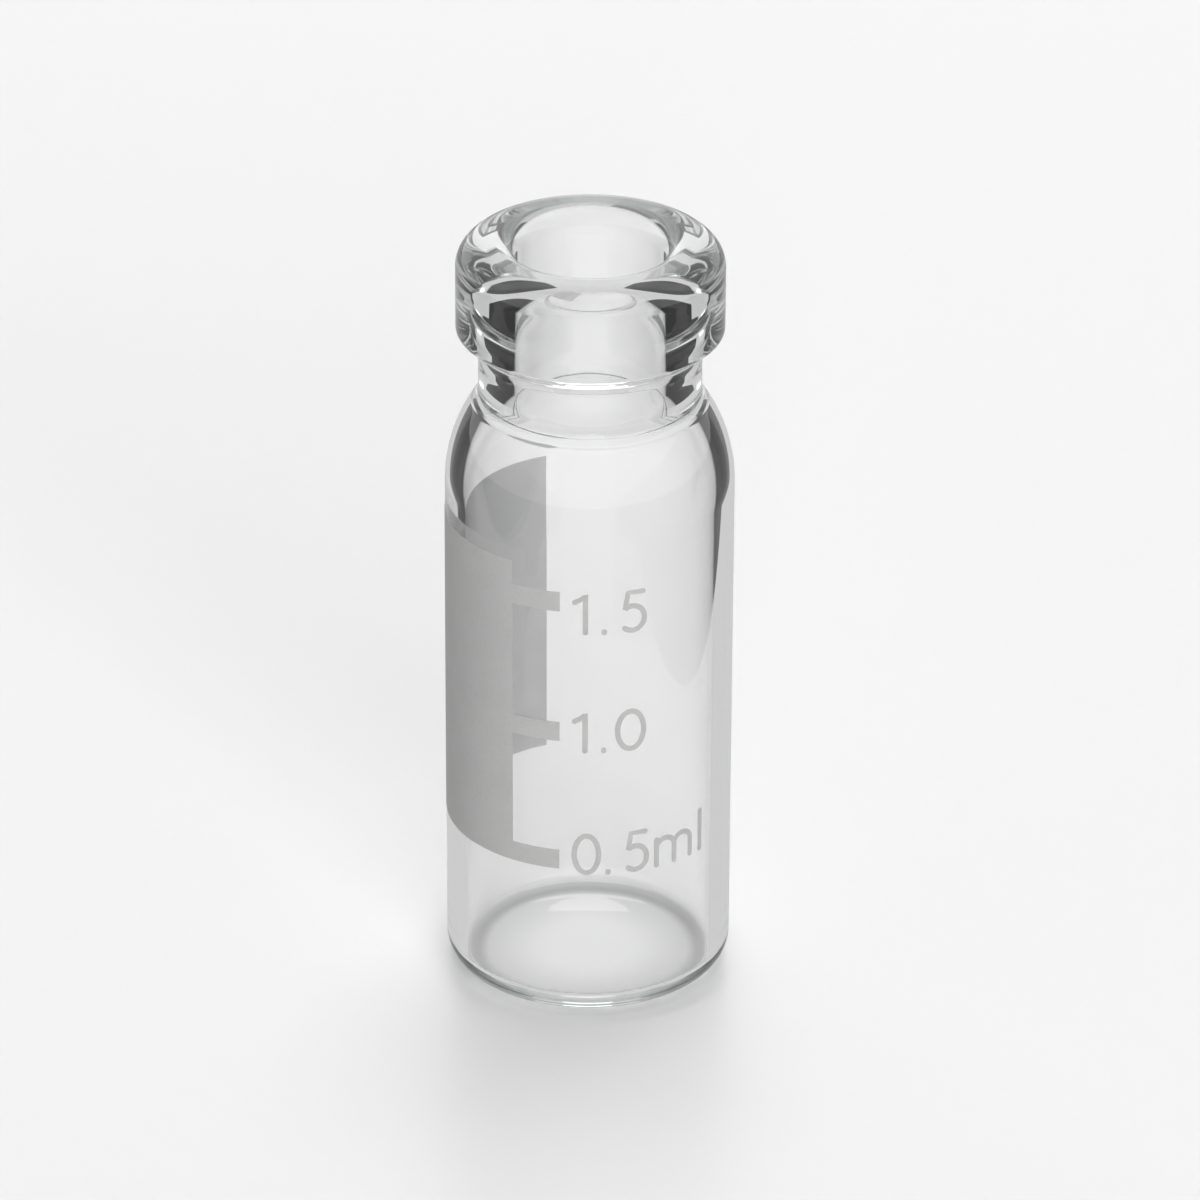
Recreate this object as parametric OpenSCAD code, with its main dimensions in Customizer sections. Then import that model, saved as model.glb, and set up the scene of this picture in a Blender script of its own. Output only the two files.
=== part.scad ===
// Open glass sample vial with an 11 mm crimp finish and a fired enamel scale.
// Millimetres. The vial's axis is Z and its foot stands on Z = 0. The scale faces -Y,
// and the writing patch wraps round the -X side.

/* [Body] */
// Outside diameter of the straight body
body_d = 11.6; // [10.5:0.1:15]
// Height from the foot to the top of the mouth
height = 32; // [28:0.5:45]
// Thickness of the body wall
wall = 0.8; // [0.6:0.05:1.2]
// Thickness of the floor beside the push-up
floor_t = 0.7; // [0.5:0.05:1.5]

/* [Foot] */
// Radius of the rounded heel between the foot and the wall
heel_r = 1.15; // [0.5:0.05:1.5]
// Radius inside, between the floor and the wall
floor_corner_r = 0.25; // [0.2:0.05:1]
// Inside diameter of the flat ring that the vial stands on
foot_ring_d = 8.4; // [5:0.1:9.4]
// Rise of the shallow push-up at the middle of the foot
push_up = 0.06; // [0.02:0.02:0.4]

/* [Shoulder and neck] */
// Outside diameter of the neck
neck_d = 8.9; // [8:0.1:9.5]
// Radius of the convex shoulder
shoulder_r = 6.3; // [4.5:0.1:8]
// How much lower the shoulder starts inside than outside, which thickens the glass there
shoulder_drop = 0.3; // [0:0.05:0.6]
// Radius of the concave sweep from the shoulder into the neck
neck_sweep_r = 1.4; // [1:0.1:2.5]
// Length of the straight neck between the sweep and the root of the bead
neck_land = 1.3; // [0.5:0.1:3]

/* [Crimp bead and mouth] */
// Outside diameter of the bead that the cap is crimped round
bead_d = 10.7; // [10:0.1:12]
// Height from the corner under the bead's side to the top
bead_h = 3.75; // [2.5:0.05:4.5]
// Slope of the bead's underside from the horizontal, in degrees
bead_slope = 33; // [20:1:50]
// Radius of that corner
bead_corner_r = 0.3; // [0.2:0.05:0.8]
// Radius between the bead's underside and the neck
bead_root_r = 0.8; // [0.3:0.05:1]
// Radius of the outer edge of the top
rim_r = 1.1; // [0.3:0.05:1.3]
// Diameter of the bore through the neck
bore_d = 6.0; // [4:0.1:6.4]
// Radius of the rounded inner lip of the mouth
lip_r = 0.8; // [0.3:0.05:1.2]
// Radius where the bore opens out into the body
bore_flare_r = 1.9; // [1:0.1:4]

/* [Enamel scale] */
// Thickness of the fired enamel
enamel_t = 0.02; // [0.01:0.01:0.1]
// Height above the foot of the lower edge of the patch and of the lowest bar
patch_z = 6.9; // [3:0.1:9]
// Distance from the upper edge of the patch to the start of the shoulder
patch_gap = 1.2; // [0.5:0.1:5]
// Angle from the middle of the scale to the front edge of the patch, in degrees
patch_start = 31.5; // [20:0.5:60]
// Angle that the patch takes up round the vial, in degrees
patch_sweep = 128.5; // [60:0.5:180]
// Height of one graduation bar
bar_h = 0.85; // [0.4:0.05:1.5]
// Rise from one graduation bar to the next
bar_pitch = 5.8; // [2:0.1:6.5]
// Angle from the middle of the scale to the free ends of the bars, in degrees
bar_end = 11.5; // [5:0.5:19]

/* [Hidden] */
$fn = 180;
arc_step = 7.5;

glass = [0.80, 0.84, 0.83, 0.45];
enamel = [0.62, 0.63, 0.61];

body_r = body_d / 2;
cavity_r = body_r - wall;
neck_r = neck_d / 2;
bore_r = bore_d / 2;
bead_r = bead_d / 2;
foot_ring_r = min(foot_ring_d / 2, body_r - heel_r);

// How far a fillet runs along each side of a corner that turns by the given angle
function reach(r, turn) = r * tan(turn / 2);

// How much higher the centre of circle b is when two circles touch from outside
function touching_rise(xa, ra, xb, rb) = sqrt((ra + rb) ^ 2 - (xb - xa) ^ 2);

// How far the first circle turns, from its side, before it reaches the point where they touch
function touching_turn(xa, ra, xb, rb) = acos((xb - xa) / (ra + rb));

// Points along an arc, from one angle to another
function arc(c, r, from, to) =
    let (steps = ceil(abs(to - from) / arc_step))
    [for (i = [0 : steps]) let (a = from + (to - from) * i / steps) c + r * [cos(a), sin(a)]];

// The roundings of the mouth's top, no larger than the top has room for
top_share = min(1, (bead_r - bore_r) / (rim_r + lip_r));
rim = rim_r * top_share;
lip = lip_r * top_share;

// The bead, from the top downwards: the corner under its side, and its root on the neck
bead_turn = 90 - bead_slope;
bead_corner_z = height - bead_h;
bead_root_z = bead_corner_z - (bead_r - neck_r) * tan(bead_slope);

// The roundings of the bead's underside, no larger than the slope between them has room for
under_length = (bead_r - neck_r) / cos(bead_slope);
under_share = min(1, under_length / reach(bead_corner_r + bead_root_r, bead_turn));
corner = bead_corner_r * under_share;
root = bead_root_r * under_share;

// The neck sweep and the shoulder are circles that touch each other
sweep_x = neck_r + neck_sweep_r;
sweep_z = bead_root_z - reach(root, bead_turn) - neck_land;
shoulder_x = body_r - shoulder_r;
shoulder_z = sweep_z - touching_rise(shoulder_x, shoulder_r, sweep_x, neck_sweep_r);

// The patch ends below the shoulder, and takes as many bars as fit beside it
patch_h = shoulder_z - patch_gap - patch_z;
bar_count = 1 + floor((patch_h - bar_h) / bar_pitch);

// The outside of the glass, from the middle of the foot to the inner edge of the mouth's top
function outside_line() = let (
    shoulder_turn = touching_turn(shoulder_x, shoulder_r, sweep_x, neck_sweep_r)
) concat(
    [[0, 0]],
    arc([body_r - heel_r, heel_r], heel_r, -90, 0),
    arc([shoulder_x, shoulder_z], shoulder_r, 0, shoulder_turn),
    arc([sweep_x, sweep_z], neck_sweep_r, 180 + shoulder_turn, 180),
    arc([neck_r + root, bead_root_z - reach(root, bead_turn)], root, 180, 180 - bead_turn),
    arc([bead_r - corner, bead_corner_z + reach(corner, bead_turn)], corner, -bead_turn, 0),
    arc([bead_r - rim, height - rim], rim, 0, 90)
);

// The inside of the glass, from the mouth's top down to the middle of the floor
function inside_line() = let (
    inner_r = shoulder_r - wall,
    inner_z = shoulder_z - shoulder_drop,
    flare_x = bore_r + bore_flare_r,
    flare_z = inner_z + touching_rise(shoulder_x, inner_r, flare_x, bore_flare_r),
    flare_turn = touching_turn(shoulder_x, inner_r, flare_x, bore_flare_r)
) concat(
    arc([bore_r + lip, height - lip], lip, 90, 180),
    arc([flare_x, flare_z], bore_flare_r, 180, 180 + flare_turn),
    arc([shoulder_x, inner_z], inner_r, flare_turn, 0),
    arc([cavity_r - floor_corner_r, floor_t + floor_corner_r], floor_corner_r, 0, -90),
    [[0, floor_t]]
);

// The glass body: its section turned round the axis, with a shallow push-up under the foot
module vial() {
    push_up_r = (foot_ring_r ^ 2 + push_up ^ 2) / (2 * push_up);
    color(glass)
    difference() {
        rotate_extrude() polygon(concat(outside_line(), inside_line()));
        translate([0, 0, push_up - push_up_r]) sphere(r = push_up_r);
    }
}

// A band of enamel on the wall, swept round from the back edge of the patch
module enamel_band(z, h, sweep) {
    translate([0, 0, z])
    rotate_extrude(angle = sweep)
    translate([body_r, 0]) square([enamel_t, h]);
}

// The writing patch and the bars that stand out from its front edge, fired on as one print
module printed_scale() {
    color(enamel)
    rotate([0, 0, -90 - patch_start - patch_sweep])
    union() {
        enamel_band(patch_z, patch_h, patch_sweep);
        for (i = [0 : bar_count - 1])
            enamel_band(patch_z + i * bar_pitch, bar_h, patch_sweep + patch_start - bar_end);
    }
}

vial();
printed_scale();
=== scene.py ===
# Crimp-top sample vial: drawn borosilicate glass with a fired grey enamel patch and scale.
import math
import bpy
from mathutils import Matrix, Vector


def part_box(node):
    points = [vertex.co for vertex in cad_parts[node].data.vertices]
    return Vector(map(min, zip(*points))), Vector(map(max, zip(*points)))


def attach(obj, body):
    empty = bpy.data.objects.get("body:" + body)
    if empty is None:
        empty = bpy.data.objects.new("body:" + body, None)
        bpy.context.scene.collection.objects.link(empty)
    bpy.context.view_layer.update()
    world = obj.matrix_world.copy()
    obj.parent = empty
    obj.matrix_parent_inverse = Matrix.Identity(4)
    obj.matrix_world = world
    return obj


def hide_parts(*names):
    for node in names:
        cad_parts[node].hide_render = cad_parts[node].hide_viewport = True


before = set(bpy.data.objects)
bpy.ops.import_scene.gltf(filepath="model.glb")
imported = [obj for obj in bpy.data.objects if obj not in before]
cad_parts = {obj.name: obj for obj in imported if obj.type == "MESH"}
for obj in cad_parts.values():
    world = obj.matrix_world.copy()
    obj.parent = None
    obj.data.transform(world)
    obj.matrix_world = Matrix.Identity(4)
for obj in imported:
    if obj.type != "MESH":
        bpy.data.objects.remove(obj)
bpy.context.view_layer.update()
mm = 0.001  # the scene is in metres, and the sizes below are in millimetres

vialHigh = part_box("vial")[1]
scaleLow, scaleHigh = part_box("printed_scale")
bodyRadius = vialHigh[0] / mm
vialHeight = vialHigh[2] / mm


def srgb(code):  # hex colour to the linear values that the shaders take
    values = [int(code[i : i + 2], 16) / 255 for i in (1, 3, 5)]
    linear = [v / 12.92 if v <= 0.04045 else ((v + 0.055) / 1.055) ** 2.4 for v in values]
    return (*linear, 1.0)


white = srgb("#ffffff")


def newMaterial(name):
    material = bpy.data.materials.new(name)
    material.use_nodes = True
    material.node_tree.nodes.clear()
    return material, material.node_tree


def addNode(tree, kind, settings=None, links=None):
    # a setting is a socket's value, by its name or number, or a property of the node
    node = tree.nodes.new(kind)
    for key, value in (settings or {}).items():
        if isinstance(key, int) or key in node.inputs:
            node.inputs[key].default_value = value
        else:
            setattr(node, key, value)
    for key, output in (links or {}).items():
        tree.links.new(output, node.inputs[key])
    return node


def swapShader(tree, share, first, second):  # the second shader shows where the share is 1
    mix = addNode(
        tree,
        "ShaderNodeMixShader",
        links={0: share, 1: first.outputs[0], 2: second.outputs[0]},
    )
    addNode(tree, "ShaderNodeOutputMaterial", links={"Surface": mix.outputs[0]})


def addMesh(name, points, faces, material, smooth=True):
    mesh = bpy.data.meshes.new(name)
    mesh.from_pydata(points, [], faces)
    mesh.update()
    mesh.polygons.foreach_set("use_smooth", [smooth] * len(faces))
    mesh.materials.append(material)
    piece = bpy.data.objects.new(name, mesh)
    bpy.context.scene.collection.objects.link(piece)
    return piece


# Borosilicate glass, drawn as tube and flame formed: clear and mirror smooth, a cool grey where
# the eye looks along the wall, with shallow waves left by drawing and forming.
glassLook = {
    "colour": "#ffffff",
    "ior": 1.50,
    "tint": "#b9c2be",
    "tintDensity": 30.0,  # per metre of glass
    "waveLength": 2.5,  # mm, across the draw
    "wavesAlong": 30,  # per metre, along the draw
    "waveDepth": 0.0006,  # mm
}


def borosilicateGlass():
    look = glassLook
    material, tree = newMaterial("borosilicateGlass")
    place = addNode(tree, "ShaderNodeTexCoord")
    across = 1 / (look["waveLength"] * mm)
    stretch = addNode(
        tree,
        "ShaderNodeMapping",
        {"Scale": (across, across, look["wavesAlong"])},
        {"Vector": place.outputs["Object"]},
    )
    waves = addNode(
        tree,
        "ShaderNodeTexNoise",
        {"Scale": 1.0, "Detail": 1.0},
        {"Vector": stretch.outputs[0]},
    )
    bump = addNode(
        tree,
        "ShaderNodeBump",
        {"Strength": 1.0, "Distance": look["waveDepth"] * mm},
        {"Height": waves.outputs[0]},
    )
    surface = addNode(
        tree,
        "ShaderNodeBsdfPrincipled",
        {
            "Base Color": srgb(look["colour"]),
            "Roughness": 0.0,
            "IOR": look["ior"],
            "Transmission Weight": 1.0,
        },
        {"Normal": bump.outputs[0]},
    )
    depth = addNode(
        tree,
        "ShaderNodeVolumeAbsorption",
        {"Color": srgb(look["tint"]), "Density": look["tintDensity"]},
    )
    addNode(
        tree,
        "ShaderNodeOutputMaterial",
        links={"Surface": surface.outputs[0], "Volume": depth.outputs[0]},
    )
    return material


# Grey enamel, screen printed and fired on: matt and pencil-ready, a little light comes through it,
# and the ground pigment and screen leave fine specks.
enamelLook = {
    "light": "#b2b2b1",
    "dark": "#ababaa",
    "contrast": (0.35, 0.65),  # the noise levels that give the dark and the light
    "roughness": 0.55,
    "shine": 0.4,  # specular level
    "translucency": 0.35,
    "speckSize": 0.12,  # mm; the real grit is nearer 0.02 mm and would not show
    "speckEdge": 0.6,  # how ragged the specks are
    "mottleSize": 1.6,  # mm, uneven laydown through the screen
    "mottleShare": 0.4,
    "bump": 0.004,  # mm
}


def firedEnamel():
    look = enamelLook
    material, tree = newMaterial("firedEnamel")
    place = addNode(tree, "ShaderNodeTexCoord")
    specks = addNode(
        tree,
        "ShaderNodeTexNoise",
        {"Scale": 1 / (look["speckSize"] * mm), "Detail": 3.0, "Roughness": look["speckEdge"]},
        {"Vector": place.outputs["Object"]},
    )
    mottle = addNode(
        tree,
        "ShaderNodeTexNoise",
        {"Scale": 1 / (look["mottleSize"] * mm), "Detail": 2.0},
        {"Vector": place.outputs["Object"]},
    )
    blend = addNode(
        tree,
        "ShaderNodeMix",
        {"data_type": "FLOAT", 0: look["mottleShare"]},
        {2: specks.outputs[0], 3: mottle.outputs[0]},
    )
    ramp = addNode(tree, "ShaderNodeValToRGB", links={0: blend.outputs[0]})
    tones = (look["dark"], look["light"])
    for stop, position, tone in zip(ramp.color_ramp.elements, look["contrast"], tones):
        stop.position = position
        stop.color = srgb(tone)
    bump = addNode(
        tree,
        "ShaderNodeBump",
        {"Strength": 1.0, "Distance": look["bump"] * mm},
        {"Height": specks.outputs[0]},
    )
    face = addNode(
        tree,
        "ShaderNodeBsdfPrincipled",
        {"Roughness": look["roughness"], "Specular IOR Level": look["shine"]},
        {"Base Color": ramp.outputs[0], "Normal": bump.outputs[0]},
    )
    through = addNode(tree, "ShaderNodeBsdfTranslucent", links={"Color": ramp.outputs[0]})
    layer = addNode(
        tree,
        "ShaderNodeMixShader",
        {0: look["translucency"]},
        {1: face.outputs[0], 2: through.outputs[0]},
    )
    # the print is a closed shell: light scatters once, where it enters, and leaves by the far side
    leaving = addNode(tree, "ShaderNodeNewGeometry").outputs["Backfacing"]
    clear = addNode(tree, "ShaderNodeBsdfTransparent")
    swapShader(tree, leaving, layer, clear)
    return material


glass = borosilicateGlass()
enamel = firedEnamel()
print("materials made")

# The vial: one outline turned about Z, in millimetres and degrees.
vial = {
    "wall": 0.8,
    "floor": 0.7,
    "heelRadius": 1.15,
    "floorCorner": 0.25,
    "footRing": 4.2,  # inner radius of the ring that it stands on
    "pushUp": 0.06,  # how far the middle of the foot is raised
    "neckRadius": 4.45,
    "shoulderRadius": 6.3,
    "innerDrop": 0.3,  # how much lower the shoulder starts inside, where the glass thickens
    "sweepRadius": 1.4,  # hollow curve from the shoulder into the neck
    "neckLand": 1.3,  # straight stretch of the neck
    "beadRadius": 5.35,
    "beadHeight": 3.75,  # from the top down to its lower edge
    "beadSlope": 33,  # underside of the bead
    "beadCorner": 0.3,
    "beadRoot": 0.8,  # fillet between the neck and the underside
    "rimRadius": 1.1,  # outer edge of the mouth
    "boreRadius": 3,
    "lipRadius": 0.8,  # inner edge of the mouth
    "flareRadius": 1.9,  # from the bore out into the body
    "around": 256,  # facets round the vial
}


def oval(centreX, centreZ, radiusX, radiusZ, start, end, count):  # a stretch of an ellipse
    angles = [math.radians(start + (end - start) * i / count) for i in range(count + 1)]
    return [(centreX + radiusX * math.cos(a), centreZ + radiusZ * math.sin(a)) for a in angles]


def arc(centreX, centreZ, radius, start, end, step=3.0):  # a point every few degrees, ends included
    count = max(1, math.ceil(abs(end - start) / step))
    return oval(centreX, centreZ, radius, radius, start, end, count)


def touching(xa, ra, xb, rb):
    # the rise between the centres of two touching arcs, and the angle at which they meet
    rise = math.sqrt((ra + rb) ** 2 - (xb - xa) ** 2)
    return rise, math.degrees(math.acos((xb - xa) / (ra + rb)))


def vialOutline():
    v = vial
    turn = 90 - v["beadSlope"]
    halfTurn = math.tan(math.radians(turn / 2))
    beadZ = vialHeight - v["beadHeight"]
    rootX = v["neckRadius"] + v["beadRoot"]
    rootZ = beadZ - (v["beadRadius"] - v["neckRadius"]) * math.tan(math.radians(v["beadSlope"]))
    sweepX = v["neckRadius"] + v["sweepRadius"]
    sweepZ = rootZ - v["beadRoot"] * halfTurn - v["neckLand"]
    shoulderX = bodyRadius - v["shoulderRadius"]
    rise, shoulderTurn = touching(shoulderX, v["shoulderRadius"], sweepX, v["sweepRadius"])
    shoulderZ = sweepZ - rise
    innerZ = shoulderZ - v["innerDrop"]
    innerRadius = v["shoulderRadius"] - v["wall"]
    flareX = v["boreRadius"] + v["flareRadius"]
    flareRise, flareTurn = touching(shoulderX, innerRadius, flareX, v["flareRadius"])
    dishRadius = (v["footRing"] ** 2 + v["pushUp"] ** 2) / (2 * v["pushUp"])
    dishTurn = math.degrees(math.asin(v["footRing"] / dishRadius))

    # outside: push-up, heel, shoulder, sweep, root of the bead, corner of the bead and rim
    outline = arc(0, v["pushUp"] - dishRadius, dishRadius, 90, 90 - dishTurn, step=0.5)
    outline += arc(bodyRadius - v["heelRadius"], v["heelRadius"], v["heelRadius"], -90, 0)
    outline += arc(shoulderX, shoulderZ, v["shoulderRadius"], 0, shoulderTurn, step=1)
    outline += arc(sweepX, sweepZ, v["sweepRadius"], 180 + shoulderTurn, 180)
    outline += arc(rootX, rootZ - v["beadRoot"] * halfTurn, v["beadRoot"], 180, 180 - turn)
    beadX = v["beadRadius"] - v["beadCorner"]
    outline += arc(beadX, beadZ + v["beadCorner"] * halfTurn, v["beadCorner"], -turn, 0)
    outline += arc(v["beadRadius"] - v["rimRadius"], vialHeight - v["rimRadius"], v["rimRadius"], 0, 90)
    # inside: lip, flare from the bore, shoulder, and the corner of the floor
    outline += arc(v["boreRadius"] + v["lipRadius"], vialHeight - v["lipRadius"], v["lipRadius"], 90, 180)
    outline += arc(flareX, innerZ + flareRise, v["flareRadius"], 180, 180 + flareTurn)
    outline += arc(shoulderX, innerZ, innerRadius, flareTurn, 0, step=1)
    floorX = bodyRadius - v["wall"] - v["floorCorner"]
    outline += arc(floorX, v["floor"] + v["floorCorner"], v["floorCorner"], 0, -90)
    outline += [(0, v["floor"])]
    return outline


def addTurned(name, outline, around, material):  # the outline starts and ends on the axis
    points = [(0, 0, outline[0][1] * mm)]
    for x, z in outline[1:-1]:
        for i in range(around):
            angle = 2 * math.pi * i / around
            points.append((x * mm * math.cos(angle), x * mm * math.sin(angle), z * mm))
    points.append((0, 0, outline[-1][1] * mm))
    last = len(points) - 1
    faces = []
    for i in range(around):
        j = (i + 1) % around
        faces.append((0, 1 + j, 1 + i))
        for ring in range(len(outline) - 3):
            low = 1 + ring * around
            faces.append((low + i, low + j, low + around + j, low + around + i))
        faces.append((last, last - around + i, last - around + j))
    return addMesh(name, points, faces, material)


glassBody = addTurned("formedGlass", vialOutline(), vial["around"], glass)
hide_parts("vial")
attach(glassBody, "root")
print("vial turned")

# The print's film of enamel, in millimetres above the wall.
film = {
    "gap": 0.002,  # its inner face, just clear of the glass so that the two faces stay apart
    "proud": 0.02,  # its outer face
}


def onWall(along, z, radius):  # along: millimetres round the outside of the body from the front (-Y)
    angle = along / bodyRadius
    return (radius * mm * math.sin(angle), -radius * mm * math.cos(angle), z * mm)


def addRibbon(points, faces, sections):
    # a thin closed strip bent round the wall; each section is a pair of edge points (along, z)
    inner = bodyRadius + film["gap"]
    outer = bodyRadius + film["proud"]
    first = len(points)
    for (a, za), (b, zb) in sections:
        points += [onWall(a, za, inner), onWall(a, za, outer), onWall(b, zb, outer), onWall(b, zb, inner)]
    for i in range(len(sections) - 1):
        low = first + 4 * i
        for k in range(4):
            n = (k + 1) % 4
            faces.append((low + k, low + 4 + k, low + 4 + n, low + n))
    last = first + 4 * (len(sections) - 1)
    faces.append((first, first + 1, first + 2, first + 3))
    faces.append((last + 3, last + 2, last + 1, last))


# The write-on patch and its bars: degrees from the front towards +X, and millimetres up the wall.
writeOn = {
    "patchStart": -160.0,
    "patchEnd": -31.5,
    "barEnd": -11.5,
    "barHeight": 0.85,
    "barPitch": 5.8,
    "barCount": 3,
}


def addBand(points, faces, start, end, low, high):  # a ribbon with a section at every degree
    count = math.ceil(abs(end - start))
    alongs = [math.radians(start + (end - start) * i / count) * bodyRadius for i in range(count + 1)]
    addRibbon(points, faces, [((a, low), (a, high)) for a in alongs])


def addPatch():
    w = writeOn
    low, high = scaleLow[2] / mm, scaleHigh[2] / mm
    points, faces = [], []
    addBand(points, faces, w["patchStart"], w["patchEnd"], low, high)
    for i in range(w["barCount"]):
        foot = low + i * w["barPitch"]
        addBand(points, faces, w["patchEnd"], w["barEnd"], foot, foot + w["barHeight"])
    return addMesh("writeOnPatch", points, faces, enamel, smooth=False)


# The figures beside the bars, in millimetres. Each row has the height of its middle, then its
# letters with the degrees from the front at which each one starts and ends.
lettering = {
    "height": 1.9,
    "stroke": 0.22,
    "rows": [
        (7.6, [("0", -6.6, 5.3), (".", 8, 8), ("5", 14.1, 25), ("m", 27.2, 46), ("l", 50.7, 50.7)]),
        (13.15, [("1", -6.6, -0.3), (".", 6, 6), ("0", 10.4, 23.3)]),
        (18.45, [("1", -6.6, -0.3), (".", 6, 6), ("5", 12.1, 23.3)]),
    ],
}


def glyph(letter):  # the strokes of a letter, in shares of its width and height
    if letter == "1":
        return [[(0.0, 0.79), (0.5, 0.86), (1.0, 1.0), (1.0, 0.0)]]
    if letter == "0":
        return [oval(0.5, 0.5, 0.5, 0.5, 90, 450, 48)]
    if letter == "5":
        return [[(0.92, 1.0), (0.24, 1.0), (0.12, 0.57)] + oval(0.45, 0.32, 0.55, 0.32, 128, -128, 30)]
    if letter == "m":
        left = [(0.0, 0.0), (0.0, 0.68)]
        middle = [(0.0, 0.42)] + oval(0.25, 0.45, 0.25, 0.23, 180, 0, 16) + [(0.5, 0.0)]
        right = [(0.5, 0.42)] + oval(0.75, 0.45, 0.25, 0.23, 180, 0, 16) + [(1.0, 0.0)]
        return [left, middle, right]
    if letter == "l":
        return [[(0.0, 0.0), (0.0, 1.04)]]
    return [[(0.0, 0.0), (0.0, 0.02)]]  # the point


def addStroke(points, faces, path, half):  # a ribbon along the path, with round ends
    heading = [  # which way the path runs at each of its points
        math.atan2(b[1] - a[1], b[0] - a[0])
        for a, b in zip([path[0]] + path[:-1], path[1:] + [path[-1]])
    ]
    capSteps = 6
    caps = [90 * k / capSteps for k in range(capSteps + 1)]
    # each station is a point, its heading, and how many degrees round an end it lies
    stations = [(path[0], heading[0], cap - 90) for cap in caps[:-1]]
    stations += [(point, turn, 0) for point, turn in zip(path, heading)]
    stations += [(path[-1], heading[-1], cap) for cap in caps[1:]]
    narrowest = 0.02 * half  # the ends stop just short of a point, so that no face shrinks to nothing
    sections = []
    for (x, z), turn, cap in stations:
        forward = half * math.sin(math.radians(cap))
        side = max(half * math.cos(math.radians(cap)), narrowest)
        x += forward * math.cos(turn)
        z += forward * math.sin(turn)
        across, down = side * math.sin(turn), side * math.cos(turn)
        sections.append(((x + across, z - down), (x - across, z + down)))
    addRibbon(points, faces, sections)


def addFigures():
    half = lettering["stroke"] / 2
    height = lettering["height"] - lettering["stroke"]
    points, faces = [], []
    for middle, letters in lettering["rows"]:
        foot = middle - height / 2
        for letter, start, end in letters:
            left = math.radians(start) * bodyRadius
            width = math.radians(end) * bodyRadius - left
            if width > 0:
                left, width = left + half, width - 2 * half
            for path in glyph(letter):
                placed = [(left + x * width, foot + z * height) for x, z in path]
                addStroke(points, faces, placed, half)
    return addMesh("printedFigures", points, faces, enamel, smooth=False)


patch = addPatch()
numbers = addFigures()
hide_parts("printed_scale")
for piece in (patch, numbers):
    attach(piece, "root")
print("scale printed")

# The studio, in millimetres and degrees. The panels and the lamp light only what is matt. The glass
# shows the board, the strip, the softbox, the two cards and the level of the room.
view = {
    "distance": 300,
    "elevation": 26.95,
    "roll": 0.265,
    "frameHeight": 48.41,  # what the frame covers at the vial
    "aimX": 0.432,
    "aimZ": 16.12,
    "sensorWidth": 36,
}


def addCamera():
    v = view
    tilt, roll = math.radians(v["elevation"]), math.radians(v["roll"])
    aim = Vector((v["aimX"], 0, v["aimZ"])) * mm
    back = Vector((0, -math.cos(tilt), math.sin(tilt)))
    level = Vector((1, 0, 0))
    up = back.cross(level)
    right = math.cos(roll) * level + math.sin(roll) * up
    up = back.cross(right)
    data = bpy.data.cameras.new("camera")
    data.sensor_width = v["sensorWidth"]
    data.lens = v["distance"] / v["frameHeight"] * data.sensor_width
    data.clip_start = 0.01  # metres, well short of the vial
    camera = bpy.data.objects.new("camera", data)
    facing = Matrix((right, up, back)).transposed().to_4x4()
    camera.matrix_world = Matrix.Translation(aim + back * v["distance"] * mm) @ facing
    bpy.context.scene.collection.objects.link(camera)
    bpy.context.scene.camera = camera


def met(tree, kind, atMost=None):
    # 1 where the light has met that kind of surface, or has met it at most so many times; 0 elsewhere
    depth = addNode(tree, "ShaderNodeLightPath").outputs[kind + " Depth"]
    settings = {"operation": "GREATER_THAN", 1: 0.5}
    if atMost is not None:
        settings = {"operation": "LESS_THAN", 1: atMost + 0.5}
    return addNode(tree, "ShaderNodeMath", settings, {0: depth}).outputs[0]


def both(tree, first, second):  # 1 where both of the shares are 1
    return addNode(tree, "ShaderNodeMath", {"operation": "MULTIPLY"}, {0: first, 1: second}).outputs[0]


def rectangle(low, high):  # corners of a level or upright rectangle, from two opposite ones in mm
    (x, y, z), (farX, farY, farZ) = [[v * mm for v in corner] for corner in (low, high)]
    if z == farZ:
        return [(x, y, z), (farX, y, z), (farX, farY, z), (x, farY, z)]
    return [(x, y, z), (farX, farY, z), (farX, farY, farZ), (x, y, farZ)]


def addSheet(name, low, high, material):  # the camera does not see it, and it casts no shadow
    sheet = addMesh(name, rectangle(low, high), [(0, 1, 2, 3)], material, smooth=False)
    sheet.visible_camera = False
    sheet.visible_shadow = False
    return sheet


# Satin white board. Where the vial's own walls mirror it, it is a plain glow at a set level, a painted
# reflection, so that clear glass reads a little greyer than the board. A painted shade darkens it in the
# narrow gap under the heel, and a painted glow brightens it under the foot, where the glass gathers
# light.
board = {
    "half": 3000,  # half of its width
    "drop": 0.01,  # how far it lies under the foot, so that the two faces stay apart
    "colour": "#f4f4f4",
    "roughness": 0.3,
    "paintedHeelShade": "#cccccc",
    "underHeel": (4.1, 4.5, 4.7, 5.7),  # radii where the painted shade starts, is full, thins, and ends
    "inWalls": 0.62,
    "paintedFootGlow": 0.22,
    "glowFull": 2.0,  # radius out to which the glow is full
    "glowEnd": 4.5,  # radius at which it has faded out
}


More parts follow.
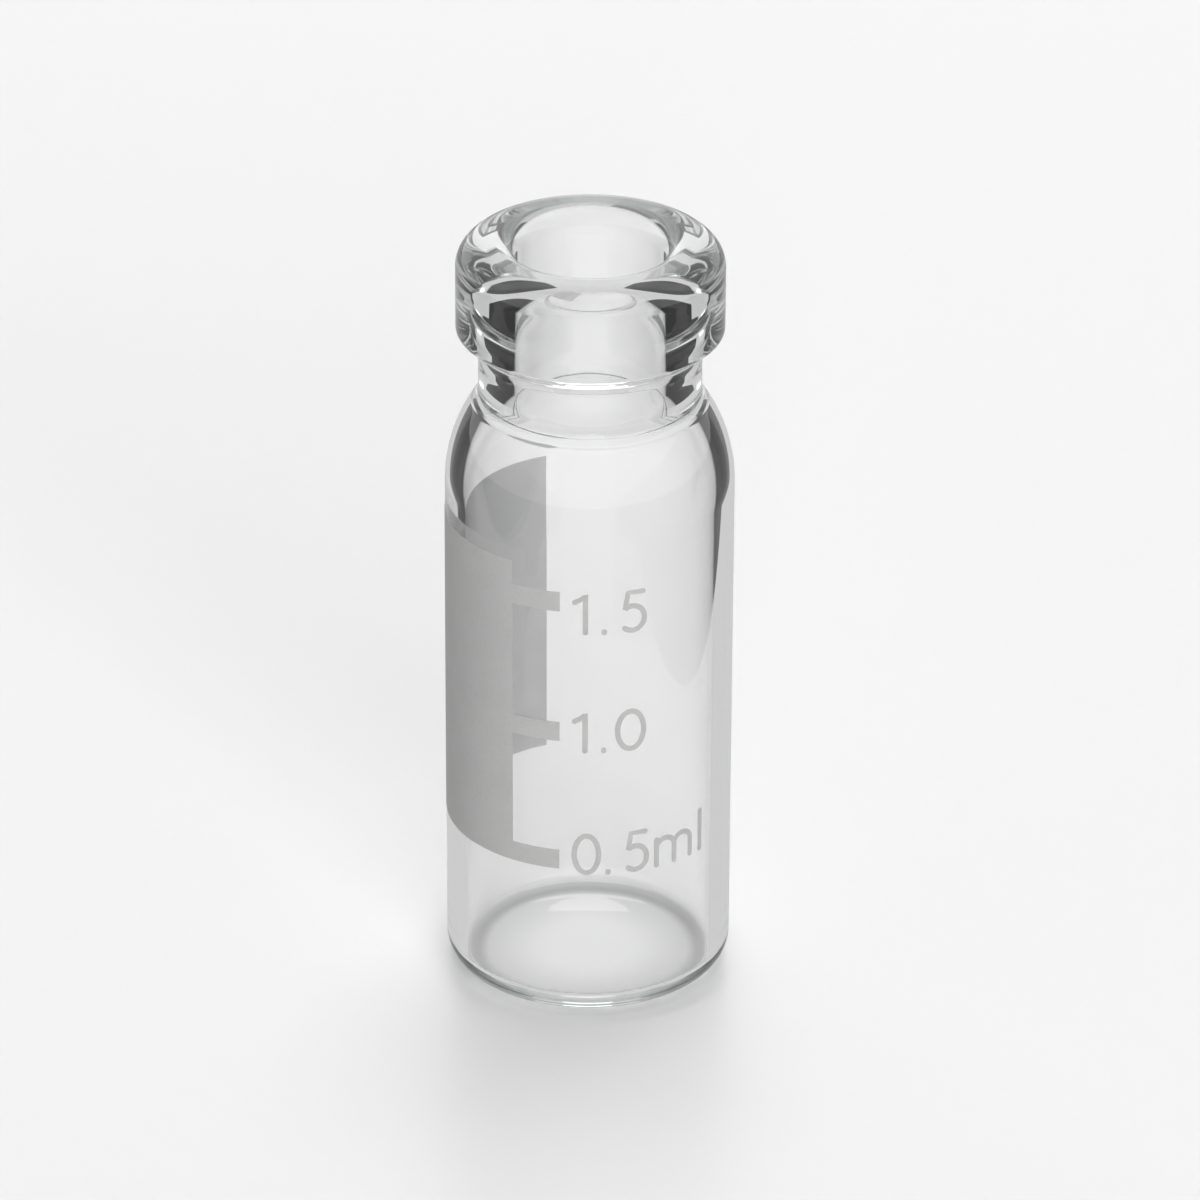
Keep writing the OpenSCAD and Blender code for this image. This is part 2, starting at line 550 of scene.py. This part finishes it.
def addFloor():
    b = board
    material, tree = newMaterial("whiteBoard")
    place = addNode(tree, "ShaderNodeNewGeometry").outputs["Position"]
    radius = addNode(tree, "ShaderNodeVectorMath", {"operation": "LENGTH"}, {0: place}).outputs["Value"]
    # painted light: the board glows under the foot, in place of the light that the glass gathers there
    glow = addNode(
        tree,
        "ShaderNodeMapRange",
        {1: b["glowFull"] * mm, 2: b["glowEnd"] * mm, 3: b["paintedFootGlow"], 4: 0.0},
        {0: radius},
    )
    # painted shade: the board's colour darkens to the heel shade tone in a ring under the heel
    inner, innerFull, outerFull, outer = [v * mm for v in b["underHeel"]]
    inside = addNode(tree, "ShaderNodeMapRange", {1: inner, 2: innerFull}, {0: radius}).outputs[0]
    outside = addNode(tree, "ShaderNodeMapRange", {1: outer, 2: outerFull}, {0: radius}).outputs[0]
    colour = addNode(
        tree,
        "ShaderNodeMix",
        {"data_type": "RGBA", 6: srgb(b["colour"]), 7: srgb(b["paintedHeelShade"])},
        {0: both(tree, inside, outside)},
    )
    satin = addNode(
        tree,
        "ShaderNodeBsdfPrincipled",
        {"Roughness": b["roughness"], "Emission Color": white},
        {"Base Color": colour.outputs[2], "Emission Strength": glow.outputs[0]},
    )
    # painted reflection: where the glass mirrors the board, it shows this plain glow instead of its lit
    # face
    plain = addNode(tree, "ShaderNodeEmission", {"Color": white, "Strength": b["inWalls"]})
    inWalls = both(tree, met(tree, "Glossy"), met(tree, "Diffuse", atMost=0))
    swapShader(tree, inWalls, satin, plain)
    material.cycles.emission_sampling = "NONE"  # the glow goes by each ray's own path
    corners = rectangle((-b["half"], -b["half"], 0), (b["half"], b["half"], 0))
    floor = addMesh("floor", corners, [(0, 1, 2, 3)], material, smooth=False)
    floor.location.z = -b["drop"] * mm


# Black card on both sides, but black only to light that the glass has bent or turned back at its
# edges, so that the edges are drawn dark while the enamel, the floor and the view straight through
# stay clear.
sideCards = {
    "colour": "#1c1c1c",
    "side": 31,
    "front": -70,
    "back": 110,
    "height": 37,
    "passes": 2,  # into the glass and out again; the view straight through has more
}


def addCards():
    c = sideCards
    material, tree = newMaterial("blackCard")
    mirrored = met(tree, "Glossy")
    fewPasses = met(tree, "Transmission", atMost=c["passes"])
    atEdge = addNode(tree, "ShaderNodeMath", {"operation": "MAXIMUM"}, {0: mirrored, 1: fewPasses})
    inGlass = both(tree, atEdge.outputs[0], met(tree, "Transmission"))
    clear = addNode(tree, "ShaderNodeBsdfTransparent")
    black = addNode(tree, "ShaderNodeEmission", {"Color": srgb(c["colour"]), "Strength": 1.0})
    swapShader(tree, both(tree, inGlass, met(tree, "Diffuse", atMost=0)), clear, black)
    for name, x in (("leftCard", -c["side"]), ("rightCard", c["side"])):
        card = addSheet(name, (x, c["front"], 0), (x, c["back"], c["height"]), material)
        card.visible_diffuse = False


# Soft lights that only the glass shows, each from dim to bright between two heights. The strip's
# white spots show in the heel and under the bead, and the softbox lightens the rim.
glassLights = {
    "stripLight": {
        "low": (-19, 150, 0),
        "high": (19, 150, 60),
        "ramp": (22, 42),
        "levels": (0.75, 2.4),
    },
    "softbox": {
        "low": (-250, -250, 300),
        "high": (250, 250, 300),
        "ramp": (0, 300),
        "levels": (1.3, 1.3),
    },
}


def addGlassLight(name, low, high, ramp, levels):
    material, tree = newMaterial(name)
    place = addNode(tree, "ShaderNodeNewGeometry").outputs["Position"]
    height = addNode(tree, "ShaderNodeSeparateXYZ", links={0: place}).outputs[2]
    level = addNode(
        tree,
        "ShaderNodeMapRange",
        {1: ramp[0] * mm, 2: ramp[1] * mm, 3: levels[0], 4: levels[1]},
        {0: height},
    )
    inGlass = both(tree, met(tree, "Transmission"), met(tree, "Diffuse", atMost=0))
    clear = addNode(tree, "ShaderNodeBsdfTransparent")
    glow = addNode(tree, "ShaderNodeEmission", {"Color": white}, {"Strength": level.outputs[0]})
    swapShader(tree, inGlass, clear, glow)
    addSheet(name, low, high, material).visible_diffuse = False


# Soft white panels that light only what is matt.
panels = {
    "backPanel": {"low": (-300, 250, 0), "high": (300, 250, 300), "light": 0.9},
    "frontPanel": {"low": (-50, -600, 0), "high": (400, -600, 400), "light": 8.0},
    "topPanel": {"low": (-300, -200, 350), "high": (300, 250, 350), "light": 0.47},
}


def addPanel(name, low, high, light):
    material, tree = newMaterial(name)
    glow = addNode(tree, "ShaderNodeEmission", {"Color": white, "Strength": light})
    clear = addNode(tree, "ShaderNodeBsdfTransparent")
    swapShader(tree, met(tree, "Diffuse"), clear, glow)
    material.cycles.emission_sampling = "NONE"  # the glow goes by each ray's own path
    addSheet(name, low, high, material)


# The lamp hangs overhead and a little behind, so that the vial's soft shadow falls towards the eye.
overhead = {
    "light": 0.7,
    "size": 25,  # how wide it looks from the vial
    "elevation": 72,
    "side": 10,
}


def addLamp():
    data = bpy.data.lights.new("overheadLamp", "SUN")
    data.energy = overhead["light"]
    data.angle = math.radians(overhead["size"])
    lamp = bpy.data.objects.new("overheadLamp", data)
    high, side = math.radians(overhead["elevation"]), math.radians(overhead["side"])
    way = Vector((math.cos(high) * math.sin(side), math.cos(high) * math.cos(side), math.sin(high)))
    lamp.rotation_euler = way.to_track_quat("Z", "Y").to_euler()
    lamp.visible_glossy = False
    lamp.visible_transmission = False
    bpy.context.scene.collection.objects.link(lamp)


# How bright the room is: on what is matt, through the glass, and mirrored by the board's sheen and
# the outside of the glass.
room = {
    "onMatt": 0.35,
    "inGlass": 0.65,
    "mirrored": 1.6,
}


def addRoom():
    world = bpy.data.worlds.new("studio")
    world.use_nodes = True
    tree = world.node_tree
    tree.nodes.clear()
    shiny = addNode(
        tree,
        "ShaderNodeMix",
        {"data_type": "FLOAT", 2: room["mirrored"], 3: room["inGlass"]},
        {0: met(tree, "Transmission")},
    )
    level = addNode(
        tree,
        "ShaderNodeMix",
        {"data_type": "FLOAT", 2: room["onMatt"]},
        {0: met(tree, "Diffuse", atMost=0), 3: shiny.outputs[0]},
    )
    sky = addNode(tree, "ShaderNodeBackground", {"Color": white}, {"Strength": level.outputs[0]})
    addNode(tree, "ShaderNodeOutputWorld", links={"Surface": sky.outputs[0]})
    world.cycles.sampling_method = "NONE"  # the level goes by each ray's own path
    bpy.context.scene.world = world


addCamera()
addFloor()
addCards()
for name, light in glassLights.items():
    addGlassLight(name, **light)
for name, panel in panels.items():
    addPanel(name, **panel)
addLamp()
addRoom()

scene = bpy.context.scene
scene.view_settings.view_transform = "Standard"
scene.cycles.max_bounces = 32  # light runs a long way round in the glass
scene.cycles.transmission_bounces = 32
scene.cycles.glossy_bounces = 32
scene.cycles.diffuse_bounces = 8
scene.cycles.blur_glossy = 0.0  # mirror images in the glass stay sharp
scene.cycles.sample_clamp_indirect = 0.0  # and keep their full strength
print("studio set")
